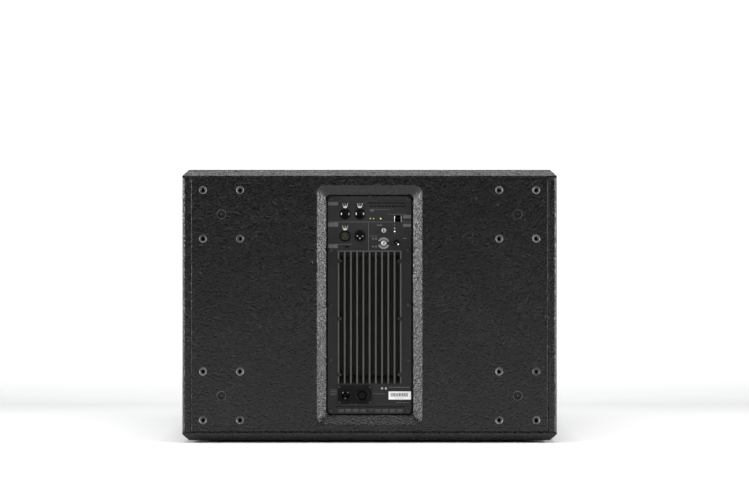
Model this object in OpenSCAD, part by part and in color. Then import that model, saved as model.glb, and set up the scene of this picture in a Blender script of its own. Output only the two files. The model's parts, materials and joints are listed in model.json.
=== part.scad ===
// Powered subwoofer cabinet with one rear-loaded amplifier and one front driver.
// Millimetres. The rear face looks along -Y, the grille along +Y, and z = 0 is under the feet.

/* [Cabinet] */
// Width across the side panels
cab_w = 810; // [800:5:860]
// Depth from the rear face to the front edge
cab_d = 700; // [690:5:760]
// Height of the wooden box without its feet
cab_h = 586; // [580:2:640]
// Thickness of the plywood panels
ply = 18; // [17:1:19]
// Bevel along the outer edges of the top and bottom panels
edge_bevel = 14; // [8:1:15]
// Rounding of the side panels' upright edges
side_round = 8; // [3:1:8]
// Height of the rubber feet
foot_h = 5; // [4:1:12]

/* [Amplifier] */
// Width of the face plate
plate_w = 181; // [181:1:184]
// Height of the face plate
plate_h = 471; // [469:1:474]
// Thickness of the face plate
plate_t = 3; // [2.5:0.5:3]
// Number of heatsink fins
fin_count = 11; // [9:2:13]
// Thickness of one fin
fin_t = 3.3; // [2.5:0.1:4]
// Depth of the channels between the fins
fin_depth = 28; // [20:1:30]
// Run of the bevel round the recess
recess_bevel = 20.5; // [16:0.5:22]

/* [Driver] */
// Outer diameter of the driver's flange
woofer_d = 460; // [456:2:464]
// Diameter of the cone at its rim
cone_d = 368; // [360:2:370]
// Diameter of the voice coil, inside
coil_d = 100; // [98:1:101]
// Diameter of the dust cap
dust_cap_d = 124; // [110:2:140]

/* [Castor plates] */
// Hole spacing across the cabinet
castor_w = 80; // [75:1:85]
// Hole spacing up the cabinet
castor_h = 105; // [100:1:110]
// Distance of a pattern's centre from the middle, across
castor_x = 320; // [310:1:325]
// Distance of a pattern's centre from the middle, up
castor_z = 196; // [190:1:200]
// Thread diameter of a castor insert
castor_thread = 8; // [6:1:8]

/* [Handles and pole] */
// Length of the hand hole in a side panel
handle_w = 208; // [190:2:220]
// Height of the hand hole in a side panel
handle_h = 108; // [100:2:120]
// Diameter of the bar in a handle
grip_d = 26; // [22:1:30]
// Bore of the pole socket
pole_bore = 35.5; // [35:0.1:36.5]

/* [Hidden] */
$fn = 48;
eps = 1;

paint_black = [0.14, 0.14, 0.15];
plate_grey = [0.2, 0.2, 0.21];
plastic_black = [0.08, 0.08, 0.08];
steel = [0.7, 0.7, 0.72];
board_green = [0.1, 0.35, 0.2];

// Planes of the cabinet
rear_y = -cab_d / 2;
front_y = cab_d / 2;
top_z = foot_h + cab_h;
mid_z = foot_h + cab_h / 2;
inner_w = cab_w - 2 * ply;
inner_h = cab_h - 2 * ply;
rear_inner_y = rear_y + ply;

// Amplifier recess and plate, from the rear face inwards
recess_w = 187;
recess_h = 476;
recess_r = 8;
recess_mouth_r = 16;
seam_bevel = 2.5;
recess_flat = 3;
gasket_t = 1.5;
plate_back = rear_inner_y - gasket_t;
plate_front = plate_back - plate_t;
plate_r = 6.5;
frame_open_w = 158;
frame_open_h = 444;
plate_screw_x = 84.5;
plate_screw_z = [230, 119, 0, -119.5, -229.5];
plate_screw_mid_z = [234, -227];

// Heatsink
fin_pitch = 13.5;
fin_z0 = -170;
fin_z1 = 115;
fin_ramp = 16;
fin_proud = 1;
sink_w = (fin_count - 1) * fin_pitch + fin_t;
sink_open_w = sink_w + 1.4;
sink_base_t = 8;
sink_back = plate_front - fin_proud + fin_depth + sink_base_t;
sink_screw_x = 65;
sink_screw_z = [95, -30, -151];
sink_boss_y = plate_front + 1;

// Rear cover of the amplifier
tub_w = 154;
tub_h = 436;
tub_t = 1.5;
tub_back = -185;

// Sockets on the plate, as [across, up] from the middle of the cabinet
net_left = [-53, 197];
net_right = [-21, 197];
xlr_in = [-53, 149];
xlr_out = [-21, 149.5];
usb_at = [61.4, 186.8];
inlet_at = [-52.5, -195.2];
outlet_at = [-16, -195.8];
power_flange_at = [-32.3, -194.3];
power_flange_size = [73, 41];
power_screw_x = [-65.7, 1];
power_screw_z = [-177.6, -210.9];
d_barrel_r = 12;
xlr_barrel_r = 12.6;
inlet_barrel_r = 12;
outlet_barrel_r = 14.4;
net_latch_dz = 18.6;
xlr_latch_dz = 18.4;
latch_size = [12, 8];
latch_gap = 0.5;

// Controls on the plate
gain_at = [30.5, 133.8];
preset_at = [30.7, 161.4];
shaft_r = 3;
shaft_clearance = 0.05;
toggle_at = [58.5, 135];
toggle_dir = -50;
toggle_tilt = 25;
toggle_pivot_y = plate_front - 1.5;
toggle_body_r = 4.2;
toggle_bore_r = 3.2;
toggle_pin_r = 0.8;
toggle_hub_r = 1.9;
slide_at = [-48.6, 126.1];
slide_window = [9.6, 4.2];
status_x = [1.6, 8.6, 24.1];
status_z = 187.1;
level_x = 54.3;
level_z = [152.5, 159.2, 165.9, 172.6];
light_r = 1.4;
label_at = [65.3, -196.1];
label_size = [48.5, 17.6];

// Vent rows as [first across, up, number of holes, hole radius]
vent_pitch = 6.62;
vent_rows = [[0, 220.8, 12, 1.9], [3.5, 213.6, 12, 1.8], [23, 227, 8, 1], [-72, -220.4, 23, 1.7]];

// Driver, along Y, with the baffle's front face as its seat
baffle_front = 300;
port_wall_x = 297;
port_wall_y0 = 60;
brace_y = 30;
woofer_hole_r = 214;
woofer_screw_r = 222;
woofer_screw_count = 8;
cone_rim_r = cone_d / 2;
seat_y = baffle_front + 6;
surround_lip = 6;
coil_r = coil_d / 2;
coil_wall = 1.4;
magnet_y = [132, 178];

// Grille
grille_y = 338;
grille_t = 2;
batten_w = 20;
grille_screw_x = 377;
grille_screw_z = 265;

// Handles
handle_y = -100;
handle_z = 60;
handle_depth = 60;
handle_wall = 3;
handle_rim = 21;
handle_sink = 6;
grip_dz = 20;

foot_r = 19;
foot_at = [335, 290];

// Points of an arc, and of a rectangle with round corners
function arc(c, r, a0, a1, steps) =
    [for (i = [0:steps]) let (a = a0 + (a1 - a0) * i / steps) [c[0] + r * cos(a), c[1] + r * sin(a)]];
function rounded(w, h, r) = concat(
    arc([w / 2 - r, h / 2 - r], r, 0, 90, 6),
    arc([r - w / 2, h / 2 - r], r, 90, 180, 6),
    arc([r - w / 2, r - h / 2], r, 180, 270, 6),
    arc([w / 2 - r, r - h / 2], r, 270, 360, 6));
function ring_section(r0, r1, y0, y1) = [[r0, y0], [r1, y0], [r1, y1], [r0, y1]];
function bevel_section(w) = [
    [-w / 2, 0], [w / 2, 0], [w / 2, ply - edge_bevel],
    [w / 2 - edge_bevel, ply], [edge_bevel - w / 2, ply], [-w / 2, ply - edge_bevel]
];

// A slab from y to y + t, drawn as seen from the rear, about the middle of the cabinet
module slab(y, t) {
    translate([0, y + t, mid_z]) rotate([90, 0, 0]) linear_extrude(t) children();
}

// A rod along Y from y to y + len, at [across, up]
module rod(at, y, len, r) {
    translate([at[0], y, mid_z + at[1]]) rotate([-90, 0, 0]) cylinder(h = len, r = r);
}

// A cone along Y from radius r1 at y to r2 at y + len
module taper(at, y, len, r1, r2) {
    translate([at[0], y, mid_z + at[1]]) rotate([-90, 0, 0]) cylinder(h = len, r1 = r1, r2 = r2);
}

// A box from y to y + len, w across and h up, about [across, up]
module block(at, y, len, w, h) {
    translate([at[0] - w / 2, y, mid_z + at[1] - h / 2]) cube([w, len, h]);
}

// A body of revolution about the driver's axis, from points [radius, y]
module turned(points) {
    translate([0, 0, mid_z]) rotate([-90, 0, 0]) rotate_extrude($fn = 96) polygon(points);
}

// A screw along Y with a round head and a hex socket, its head's underside at y
module screw(at, y, head_r, head_h, shank_r, len) {
    difference() {
        union() {
            rod(at, y - head_h, head_h, head_r);
            rod(at, y - head_h / 2, len + head_h / 2, shank_r);
        }
        translate([at[0], y - head_h - eps, mid_z + at[1]])
            rotate([-90, 0, 0]) cylinder(h = eps + head_h * 0.6, r = head_r * 0.5, $fn = 6);
    }
}

module at_plate_screws() {
    for (side = [-1, 1])
        for (z = plate_screw_z) translate([side * plate_screw_x, 0, z]) children();
    for (z = plate_screw_mid_z) translate([0, 0, z]) children();
}

module at_sink_screws() {
    for (side = [-1, 1])
        for (z = sink_screw_z) translate([side * sink_screw_x, 0, z]) children();
}

module at_power_screws() {
    for (x = power_screw_x)
        for (z = power_screw_z) translate([x, 0, z]) children();
}

module at_castor_patterns() {
    for (sx = [-1, 1])
        for (sz = [-1, 1]) translate([sx * castor_x, 0, sz * castor_z]) children();
}

module at_castor_holes() {
    at_castor_patterns()
        for (sx = [-1, 1])
            for (sz = [-1, 1]) translate([sx * castor_w / 2, 0, sz * castor_h / 2]) children();
}

module at_grille_screws() {
    for (x = [-grille_screw_x, 0, grille_screw_x])
        for (z = [-grille_screw_z, 0, grille_screw_z])
            if (x != 0 || z != 0) translate([x, 0, z]) children();
}

// Cabinet panels

module bevelled_slab() {
    intersection() {
        rotate([90, 0, 0]) linear_extrude(cab_d, center = true) polygon(bevel_section(cab_w));
        rotate([90, 0, 90]) linear_extrude(cab_w, center = true) polygon(bevel_section(cab_d));
    }
}

module top_panel() {
    color(paint_black) difference() {
        translate([0, 0, top_z - ply]) bevelled_slab();
        translate([0, -20, top_z - ply - eps]) cylinder(h = ply + 2 * eps, r = 21.2);
        translate([0, -20, top_z - 3.2]) cylinder(h = 3.2 + eps, r = 45.3);
    }
}

module bottom_panel() {
    color(paint_black) translate([0, 0, foot_h + ply]) mirror([0, 0, 1]) bevelled_slab();
}

module side_panel() {
    outline = concat(
        [[cab_w / 2 - ply, rear_y]],
        arc([cab_w / 2 - side_round, rear_y + side_round], side_round, 270, 360, 5),
        arc([cab_w / 2 - side_round, front_y - side_round], side_round, 0, 90, 5),
        [[cab_w / 2 - ply, front_y]]);
    color(paint_black) difference() {
        translate([0, 0, foot_h + ply]) linear_extrude(inner_h) polygon(outline);
        translate([cab_w / 2 - ply - eps, handle_y, mid_z + handle_z]) hand_hole(ply + 2 * eps, 4);
        translate([cab_w / 2 - handle_sink, handle_y, mid_z + handle_z])
            hand_hole(handle_sink + eps, handle_rim + 0.4);
        translate([cab_w / 2 - ply - eps, handle_y, mid_z + handle_z])
            at_handle_screws() rotate([0, 90, 0]) cylinder(h = ply, r = 2.6);
    }
}

module left_side_panel() {
    mirror([1, 0, 0]) side_panel();
}

module right_side_panel() {
    side_panel();
}

module rear_panel() {
    slope_t = ply - recess_flat;
    mouth_w = recess_w + 2 * recess_bevel;
    mouth_h = recess_h + 2 * recess_bevel;
    color(paint_black) difference() {
        hull() {
            slab(rear_y, 0.01) square([inner_w - 2 * seam_bevel, inner_h - 2 * seam_bevel], center = true);
            slab(rear_y + seam_bevel, ply - seam_bevel) square([inner_w, inner_h], center = true);
        }
        hull() {
            slab(rear_y, 0.01) polygon(rounded(mouth_w, mouth_h, recess_mouth_r));
            slab(rear_y + slope_t, 0.01) polygon(rounded(recess_w, recess_h, recess_r));
        }
        slab(rear_y - eps, ply + 2 * eps) polygon(rounded(recess_w, recess_h, recess_r));
        at_castor_holes() {
            rod([0, 0], rear_y - eps, ply + 2 * eps, 5.5);
            taper([0, 0], rear_y, 4, 8.8, 5.5);
        }
        at_castor_patterns() {
            rod([0, 0], rear_y - eps, ply + 2 * eps, 5.3);
            taper([0, 0], rear_y, 5, 10.3, 5.3);
        }
    }
}

module front_baffle() {
    color("tan") difference() {
        slab(baffle_front - ply, ply) square([2 * (port_wall_x - ply), inner_h], center = true);
        rod([0, 0], baffle_front - ply - eps, ply + 2 * eps, woofer_hole_r);
        at_woofer_screws() rod([0, 0], baffle_front - ply - eps, ply + 2 * eps, 3.2);
    }
}

module window_brace() {
    window_w = inner_w / 2 - 42;
    window_h = inner_h / 2 - 42;
    color("tan") slab(brace_y, ply) difference() {
        square([inner_w, inner_h], center = true);
        for (sx = [-1, 1])
            for (sz = [-1, 1])
                translate([sx * (22 + window_w / 2), sz * (22 + window_h / 2)])
                    square([window_w, window_h], center = true);
    }
}

module port_wall(side) {
    wall_at = [side * (port_wall_x - ply / 2), 0];
    color("tan") block(wall_at, port_wall_y0, baffle_front - port_wall_y0, ply, inner_h);
}

module left_port_wall() {
    port_wall(-1);
}

module right_port_wall() {
    port_wall(1);
}

// Amplifier

module amp_mounting_frame() {
    color("tan") difference() {
        slab(rear_inner_y, ply) square([260, 540], center = true);
        slab(rear_inner_y - eps, ply + 2 * eps) square([frame_open_w, frame_open_h], center = true);
        at_plate_screws() rod([0, 0], rear_inner_y - eps, ply + 2 * eps, 2.1);
    }
}

module amp_gasket() {
    color(plastic_black) difference() {
        slab(plate_back, gasket_t) polygon(rounded(plate_w - 2, plate_h - 2, plate_r));
        slab(plate_back - eps, gasket_t + 2 * eps)
            square([frame_open_w + 4, frame_open_h + 4], center = true);
        at_plate_screws() rod([0, 0], plate_back - eps, gasket_t + 2 * eps, 2.3);
    }
}

module vent_holes() {
    for (row = vent_rows)
        for (i = [0:row[2] - 1])
            rod([row[0] + i * vent_pitch, row[1]], plate_front - eps, plate_t + 2 * eps, row[3]);
}

module amp_face_plate() {
    cut_y = plate_front - eps;
    cut_t = plate_t + 2 * eps;
    color(plate_grey) difference() {
        slab(plate_front, plate_t) polygon(rounded(plate_w, plate_h, plate_r));
        block([0, (fin_z0 + fin_z1) / 2], cut_y, cut_t, sink_open_w, fin_z1 - fin_z0 + 1.4);
        for (at = [net_left, net_right]) {
            rod(at, cut_y, cut_t, d_barrel_r + 0.1);
            latch_slot(at, net_latch_dz);
        }
        for (at = [xlr_in, xlr_out]) rod(at, cut_y, cut_t, xlr_barrel_r + 0.1);
        latch_slot(xlr_in, xlr_latch_dz);
        block(usb_at, cut_y, cut_t, 15.4, 14.6);
        rod(inlet_at, cut_y, cut_t, inlet_barrel_r + 0.2);
        rod(outlet_at, cut_y, cut_t, outlet_barrel_r + 0.2);
        for (at = [gain_at, preset_at]) rod(at, cut_y, cut_t, shaft_r + shaft_clearance);
        rod(toggle_at, cut_y, cut_t, toggle_body_r + 0.1);
        block(slide_at, cut_y, cut_t, slide_window[0], slide_window[1]);
        at_lights() rod([0, 0], cut_y, cut_t, light_r + 0.1);
        at_plate_screws() rod([0, 0], cut_y, cut_t, 2.3);
        at_power_screws() rod([0, 0], cut_y, cut_t, 1.7);
        vent_holes();
    }
}

module amp_plate_screws() {
    color(plastic_black) at_plate_screws() screw([0, 0], plate_front, 3.6, 2, 2, 18);
}

module amp_heatsink() {
    fin_top = plate_front - fin_proud;
    middle = [0, (fin_z0 + fin_z1) / 2];
    channel_w = fin_pitch - fin_t;
    channel = [
        [fin_top - eps, fin_z0 - eps], [fin_top, fin_z0], [fin_top + fin_depth, fin_z0 + fin_ramp],
        [fin_top + fin_depth, fin_z1 - fin_ramp], [fin_top, fin_z1], [fin_top - eps, fin_z1 + eps]
    ];
    color(plate_grey) difference() {
        union() {
            difference() {
                union() {
                    block(middle, fin_top, sink_back - fin_top, sink_w, fin_z1 - fin_z0);
                    block([0, -28], plate_back, sink_back - plate_back, 148, 296);
                }
                for (i = [0:fin_count - 2])
                    translate([(i + 0.5) * fin_pitch - (fin_count - 1) * fin_pitch / 2, 0, mid_z])
                        rotate([90, 0, 90]) linear_extrude(channel_w, center = true) polygon(channel);
                at_sink_screws() rod([0, 0], fin_top - eps, sink_boss_y - fin_top + eps, 5);
            }
            at_sink_screws() rod([0, 0], sink_boss_y, sink_back - sink_boss_y - eps, 4.2);
        }
        at_sink_screws() rod([0, 0], sink_boss_y - eps, 20, 2.1);
    }
}

module heatsink_screws() {
    color(steel) at_sink_screws() screw([0, 0], sink_boss_y, 3.2, 2, 2, 16);
}

module amp_rear_cover() {
    depth = tub_back - plate_back;
    latch_w = latch_size[0];
    latch_h = latch_size[1];
    notch_t = 4.5;
    color(steel) difference() {
        block([0, 0], plate_back, depth, tub_w, tub_h);
        block([0, 0], plate_back - eps, depth + eps - tub_t, tub_w - 2 * tub_t, tub_h - 2 * tub_t);
        for (at = [net_left, net_right])
            block(at + [0, net_latch_dz + 1], plate_back - eps, eps + notch_t, latch_w + 3, latch_h + 4);
    }
}

module power_supply_board() {
    board_y = -262;
    color(board_green) {
        block([0, -115], board_y, 1.6, 132, 180);
        for (x = [-44, -12])
            for (z = [-70, -104]) rod([x, z], board_y + 1.6, 42, 14);
        block([38, -80], board_y + 1.6, 34, 44, 50);
        block([30, -160], board_y + 1.6, 26, 60, 30);
        block([-35, -160], board_y + 1.6, 20, 36, 30);
    }
}

module amplifier_board() {
    board_y = -296;
    color(board_green) {
        block([0, 48], board_y, 1.6, 132, 126);
        for (x = [-45, -15, 15, 45]) block([x, 95], sink_back, board_y - sink_back, 16, 20);
        for (x = [-32, 32]) rod([x, 20], board_y + 1.6, 26, 15);
        for (x = [-50, 0, 50]) rod([x, 62], board_y + 1.6, 30, 11);
    }
}

module control_board() {
    board_y = -303;
    pot_y = -324;
    color(board_green) {
        block([0, 168], board_y, 1.6, 136, 92);
        for (at = [gain_at, preset_at]) block(at, pot_y, board_y - pot_y, 12, 12);
    }
}

// Connectors

module latch_slot(at, dz) {
    slot_w = latch_size[0] + 2 * latch_gap;
    slot_h = latch_size[1] + 2 * latch_gap;
    block([at[0], at[1] + dz], plate_front - eps, plate_t + 2 * eps, slot_w, slot_h);
}

module d_flange(at) {
    block([at[0], at[1] - 1.7], plate_back, 2, 26, 27.6);
}

module network_socket(at) {
    front = plate_front - 1;
    color(plastic_black) difference() {
        union() {
            rod(at, front, 33, d_barrel_r);
            d_flange(at);
        }
        rod(at, front - eps, 6 + eps, 10.2);
        block([at[0], at[1] - 0.5], front + 5, 16, 12, 9);
    }
}

module left_network_socket() {
    network_socket(net_left);
}

module right_network_socket() {
    network_socket(net_right);
}

module latch(at, dz) {
    collar_y = plate_back + 0.2;
    color(steel) {
        block([at[0], at[1] + dz], plate_front - 2.3, plate_t + 4.3, latch_size[0], latch_size[1]);
        block([at[0], at[1] + dz + 0.5], collar_y, 1.8, latch_size[0] + 2, latch_size[1] + 1.4);
    }
}

module left_network_latch() {
    latch(net_left, net_latch_dz);
}

module right_network_latch() {
    latch(net_right, net_latch_dz);
}

module xlr_input_latch() {
    latch(xlr_in, xlr_latch_dz);
}

module xlr_input_socket() {
    front = plate_front - 1;
    color(plastic_black) difference() {
        union() {
            rod(xlr_in, front, 33, xlr_barrel_r);
            d_flange(xlr_in);
        }
        difference() {
            rod(xlr_in, front - eps, 13, 10.6);
            rod(xlr_in, front + 0.8, 14, 8.6);
        }
        for (pin = [[-5, 1], [5, 1], [0, -5]]) rod(xlr_in + pin, front, 12, 1.3);
    }
}

module xlr_link_socket() {
    front = plate_front - 1;
    color(plastic_black) difference() {
        union() {
            rod(xlr_out, front, 33, xlr_barrel_r);
            d_flange(xlr_out);
        }
        rod(xlr_out, front - eps, 16 + eps, 9.8);
    }
}

module xlr_link_pins() {
    color(steel) for (pin = [[-5.8, 0], [5.8, 0], [0, -5.2]]) rod(xlr_out + pin, plate_front + 2, 13, 1.25);
}

module power_connector_flange() {
    color(plastic_black) difference() {
        translate([power_flange_at[0], 0, power_flange_at[1]])
            slab(plate_front - 1.5, 1.5) polygon(rounded(power_flange_size[0], power_flange_size[1], 3));
        rod(inlet_at, plate_front - 1.5 - eps, 1.5 + 2 * eps, inlet_barrel_r + 0.2);
        rod(outlet_at, plate_front - 1.5 - eps, 1.5 + 2 * eps, outlet_barrel_r + 0.2);
        at_power_screws() rod([0, 0], plate_front - 1.5 - eps, 1.5 + 2 * eps, 1.7);
    }
}

module power_inlet_socket() {
    front = plate_front - 2.5;
    color(plastic_black) difference() {
        rod(inlet_at, front, 32, inlet_barrel_r);
        rod(inlet_at, front - eps, 18 + eps, 9.8);
    }
}

module power_inlet_contacts() {
    color("goldenrod") for (a = [45, 135, 270])
        rod(inlet_at + 7.2 * [cos(a), sin(a)], plate_front + 2.5, 13, 1.6);
}

module power_outlet_socket() {
    front = plate_front - 4;
    color(plastic_black) difference() {
        rod(outlet_at, front, 34, outlet_barrel_r);
        difference() {
            rod(outlet_at, front - eps, 16 + eps, 11.6);
            rod(outlet_at, front + 1, 20, 10.6);
        }
        difference() {
            rod(outlet_at, front - eps, 16 + eps, 9.6);
            rod(outlet_at, front + 1.5, 20, 7.3);
        }
        rod(outlet_at, front, 10, 1.9);
    }
}

module connector_screws() {
    color(plastic_black) at_power_screws() screw([0, 0], plate_front - 1.5, 2.6, 1.4, 1.5, 16);
}

module usb_socket() {
    front = plate_front - 0.7;
    color(steel) difference() {
        block(usb_at, front, 20, 15, 14.2);
        block(usb_at, front - eps, 15, 12.2, 11.2);
    }
    color(plastic_black) block(usb_at, front + 6, 12, 8, 4);
}

// Controls

module gain_knob() {
    color(steel) {
        rod(gain_at, plate_front - 11, 10.3, 5.8);
        rod(gain_at, plate_front - 1, 13, shaft_r);
    }
}

module preset_knob() {
    color(steel) difference() {
        union() {
            rod(preset_at, plate_front - 4.5, 3.8, 5.1);
            rod(preset_at, plate_front - 1, 13, shaft_r);
        }
        block(preset_at, plate_front - 5.5, 3, 2.2, 6.4);
    }
}

// The pin that the lever swings on, across the barrel, reaching half_len each way
module toggle_pin(half_len, r) {
    translate([toggle_at[0], toggle_pivot_y, mid_z + toggle_at[1]])
        rotate([0, -toggle_dir, 0]) cylinder(h = 2 * half_len, r = r, center = true);
}

module toggle_switch_body() {
    color(plastic_black) difference() {
        union() {
            rod(toggle_at, plate_front - 4, 16, toggle_body_r);
            block(toggle_at, plate_back, 12, 9, 12);
        }
        rod(toggle_at, plate_front - 4 - eps, 9 + eps, toggle_bore_r);
        toggle_pin(3.95, toggle_pin_r + shaft_clearance);
    }
}

module toggle_lever() {
    lean = [sin(toggle_tilt) * cos(toggle_dir), -cos(toggle_tilt), sin(toggle_tilt) * sin(toggle_dir)];
    azimuth = atan2(lean[1], lean[0]);
    color(steel) {
        translate([toggle_at[0], toggle_pivot_y, mid_z + toggle_at[1]])
            rotate([0, acos(lean[2]), azimuth]) {
                cylinder(h = 11, r = 1.2);
                translate([0, 0, 11]) sphere(r = 1.7);
            }
        toggle_pin(1.6, toggle_hub_r);
        toggle_pin(3.8, toggle_pin_r);
    }
}

module slide_switch_body() {
    color(plastic_black) difference() {
        block(slide_at, plate_back, 8, 14, 8);
        block(slide_at, plate_back - eps, 4 + eps, slide_window[0], slide_window[1]);
    }
}

module slide_switch_slider() {
    color(plastic_black) block(slide_at, plate_front + 0.3, 6, 3.2, 3.2);
}

module at_lights() {
    for (x = status_x) translate([x, 0, status_z]) children();
    for (z = level_z) translate([level_x, 0, z]) children();
}

module indicator_lights() {
    color([0.8, 0.9, 0.3]) at_lights() rod([0, 0], plate_front - 0.6, 4, light_r);
}

module rating_label() {
    color("white") block(label_at, plate_front - 0.4, 0.4, label_size[0], label_size[1]);
}

// Castor plates

module castor_inserts() {
    barrel_y = rear_y + 4;
    color(steel) at_castor_holes() difference() {
        union() {
            rod([0, 0], barrel_y, ply - 4 + 1.5, 5.4);
            rod([0, 0], rear_inner_y, 1.5, 11);
        }
        rod([0, 0], barrel_y - eps, ply + 2 * eps, castor_thread / 2);
    }
}

module blanking_screws() {
    color(plastic_black) at_castor_patterns() difference() {
        union() {
            taper([0, 0], rear_y + 0.2, 4.8, 10, 5.1);
            rod([0, 0], rear_y + 5, 24, 5.1);
        }
        translate([0, rear_y - eps, mid_z]) rotate([-90, 0, 0]) cylinder(h = 4.5, r = 3.5, $fn = 6);
    }
}

// Driver

module at_woofer_screws() {
    for (i = [0:woofer_screw_count - 1])
        let (a = 360 / woofer_screw_count * (i + 0.5))
            translate([woofer_screw_r * cos(a), 0, woofer_screw_r * sin(a)]) children();
}

module woofer_basket() {
    profile = [
        [208, 306], [woofer_d / 2, 306], [woofer_d / 2, 300], [212, 300], [108, 186],
        [60, 186], [60, 192], [104, 192], [205, 297], [208, 300]
    ];
    color([0.25, 0.25, 0.26]) difference() {
        turned(profile);
        for (i = [0:5])
            translate([0, 0, mid_z]) rotate([0, i * 60, 0])
                translate([118, 210, -38]) cube([80, 74, 76]);
        at_woofer_screws() rod([0, 0], 299, 8, 3.2);
    }
}

module woofer_magnet() {
    inner_r = 60;
    outer_r = 105;
    color([0.2, 0.2, 0.2]) turned(ring_section(inner_r, outer_r, magnet_y[0], magnet_y[1]));
}

module woofer_yoke() {
    gap_r = coil_r + coil_wall + 1.6;
    pole_r = coil_r - 1.5;
    pole_top = 186;
    color(steel) {
        turned([
            [0, 120], [100, 120], [100, magnet_y[0]],
            [pole_r, magnet_y[0]], [pole_r, pole_top], [0, pole_top]
        ]);
        turned(ring_section(gap_r, 102, magnet_y[1], pole_top));
    }
}

module voice_coil() {
    color("goldenrod") turned(ring_section(coil_r, coil_r + coil_wall, 160, 226));
}

module woofer_cone() {
    neck_r = coil_r + coil_wall;
    neck_y = 218;
    slope = (seat_y - 4 - neck_y) / (cone_rim_r - neck_r);
    cap_r = dust_cap_d / 2;
    cap_y = neck_y + 2 + slope * (cap_r - neck_r);
    cap_rise = 24;
    ball_r = (cap_r * cap_r + cap_rise * cap_rise) / (2 * cap_rise);
    half = asin(cap_r / ball_r);
    ball = [0, cap_y + cap_rise - ball_r];
    color([0.15, 0.15, 0.15]) {
        turned([
            [neck_r, neck_y], [cone_rim_r, seat_y - 4], [cone_rim_r, seat_y],
            [cone_rim_r - surround_lip, seat_y], [neck_r, neck_y + 2.5]
        ]);
        turned(concat(arc(ball, ball_r, 90 - half, 90, 10), arc(ball, ball_r - 1.2, 90, 90 - half, 10)));
    }
}

module woofer_surround() {
    seat_r = woofer_d / 2 - 22;
    roll = [(cone_rim_r + seat_r) / 2, seat_y];
    roll_r = (seat_r - cone_rim_r) / 2;
    skin = 1.4;
    color(plastic_black) turned(concat(
        [[seat_r + surround_lip, seat_y], [seat_r + surround_lip, seat_y + skin]],
        arc(roll, roll_r, 6, 174, 16),
        [[cone_rim_r - surround_lip, seat_y + skin], [cone_rim_r - surround_lip, seat_y]],
        arc(roll, roll_r - skin, 180, 0, 16)));
}

module woofer_spider() {
    inner_r = coil_r + coil_wall;
    steps = 20;
    wave = [for (i = [0:steps]) [inner_r + (110 - inner_r) * i / steps, 201 + 2 * sin(i * 90)]];
    color("tan") turned(concat(wave, [for (i = [steps:-1:0]) wave[i] + [0, 1]]));
}

module woofer_screws() {
    color(plastic_black) at_woofer_screws() mirrored_screw(306, 5, 5, 3, 22);
}

// A screw whose head looks along +Y, its head's underside at y
module mirrored_screw(y, head_r, head_h, shank_r, len) {
    mirror([0, 1, 0]) screw([0, 0], -y, head_r, head_h, shank_r, len);
}

// Grille

module grille_battens() {
    color("tan") difference() {
        slab(grille_y - batten_w, batten_w) difference() {
            square([inner_w, inner_h], center = true);
            square([inner_w - 2 * batten_w, inner_h - 2 * batten_w], center = true);
        }
        at_grille_screws() rod([0, 0], grille_y - batten_w - eps, batten_w + 2 * eps, 2.6);
    }
}

module grille_foam() {
    color([0.1, 0.1, 0.1]) slab(grille_y - 6, 5.5)
        square([inner_w - 2 * batten_w - 1, inner_h - 2 * batten_w - 1], center = true);
}

module grille() {
    color(plastic_black) difference() {
        slab(grille_y, grille_t) polygon(rounded(inner_w - 4, inner_h - 4, 3));
        at_grille_screws() rod([0, 0], grille_y - eps, grille_t + 2 * eps, 2.8);
    }
}

// The same screw holds the grille and both handles
module cabinet_screws() {
    color(plastic_black) {
        at_grille_screws() mirrored_screw(grille_y + grille_t, 4.8, 3, 2.5, 18);
        for (side = [-1, 1])
            translate([side * (cab_w / 2 - 3), handle_y, mid_z + handle_z])
                at_handle_screws() rotate([0, 0, side * 90]) translate([0, 0, -mid_z])
                    screw([0, 0], 0, 4.8, 2.9, 2.5, 14);
    }
}

// Handles

module hand_hole(t, rim) {
    rotate([90, 0, 90]) linear_extrude(t) polygon(rounded(handle_w + 2 * rim, handle_h + 2 * rim, 12));
}

module at_handle_screws() {
    for (sy = [-1, 1])
        for (sz = [-1, 1])
            translate([0, sy * (handle_w / 2 + 12), sz * (handle_h / 2 + 12)]) children();
}

module handle() {
    rim_x = cab_w / 2 - handle_sink;
    color(plastic_black) translate([0, handle_y, mid_z + handle_z]) {
        difference() {
            union() {
                translate([rim_x, 0, 0]) hand_hole(3, handle_rim);
                translate([rim_x + 3 - handle_depth, 0, 0]) hand_hole(handle_depth - 1, handle_wall);
            }
            translate([rim_x + 3 - handle_depth + handle_wall, 0, 0]) hand_hole(handle_depth, 0);
            translate([rim_x - eps, 0, 0]) at_handle_screws() rotate([0, 90, 0]) cylinder(h = 6, r = 2.8);
        }
        translate([rim_x - 11, -handle_w / 2 - 1, grip_dz]) rotate([-90, 0, 0])
            cylinder(h = handle_w + 2, d = grip_d);
    }
}

module left_handle() {
    mirror([1, 0, 0]) handle();
}

module right_handle() {
    handle();
}

module pole_socket() {
    color(plastic_black) translate([0, -20, 0]) difference() {
        union() {
            translate([0, 0, top_z - 103]) cylinder(h = 103, r = 21);
            translate([0, 0, top_z - 3]) cylinder(h = 3, r = 45);
        }
        translate([0, 0, top_z - 100]) cylinder(h = 100 + eps, d = pole_bore);
    }
}

module rubber_feet() {
    color(plastic_black) for (sx = [-1, 1])
        for (sy = [-1, 1])
            translate([sx * foot_at[0], sy * foot_at[1], 0])
                cylinder(h = foot_h, r1 = foot_r - 2, r2 = foot_r);
}

// Cable from the amplifier's cover to the driver, swept along a smooth route

cable_r = 3.5;
cable_sides = 10;
cable_steps = 5;
cable_route = [[30, -230, -60], [30, -184.1, -60], [42, -130, -72], [70, -50, -96], [92, 40, -92],
    [98, 120, -78], [106, 205, -76], [110, 240, -76]];

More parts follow.
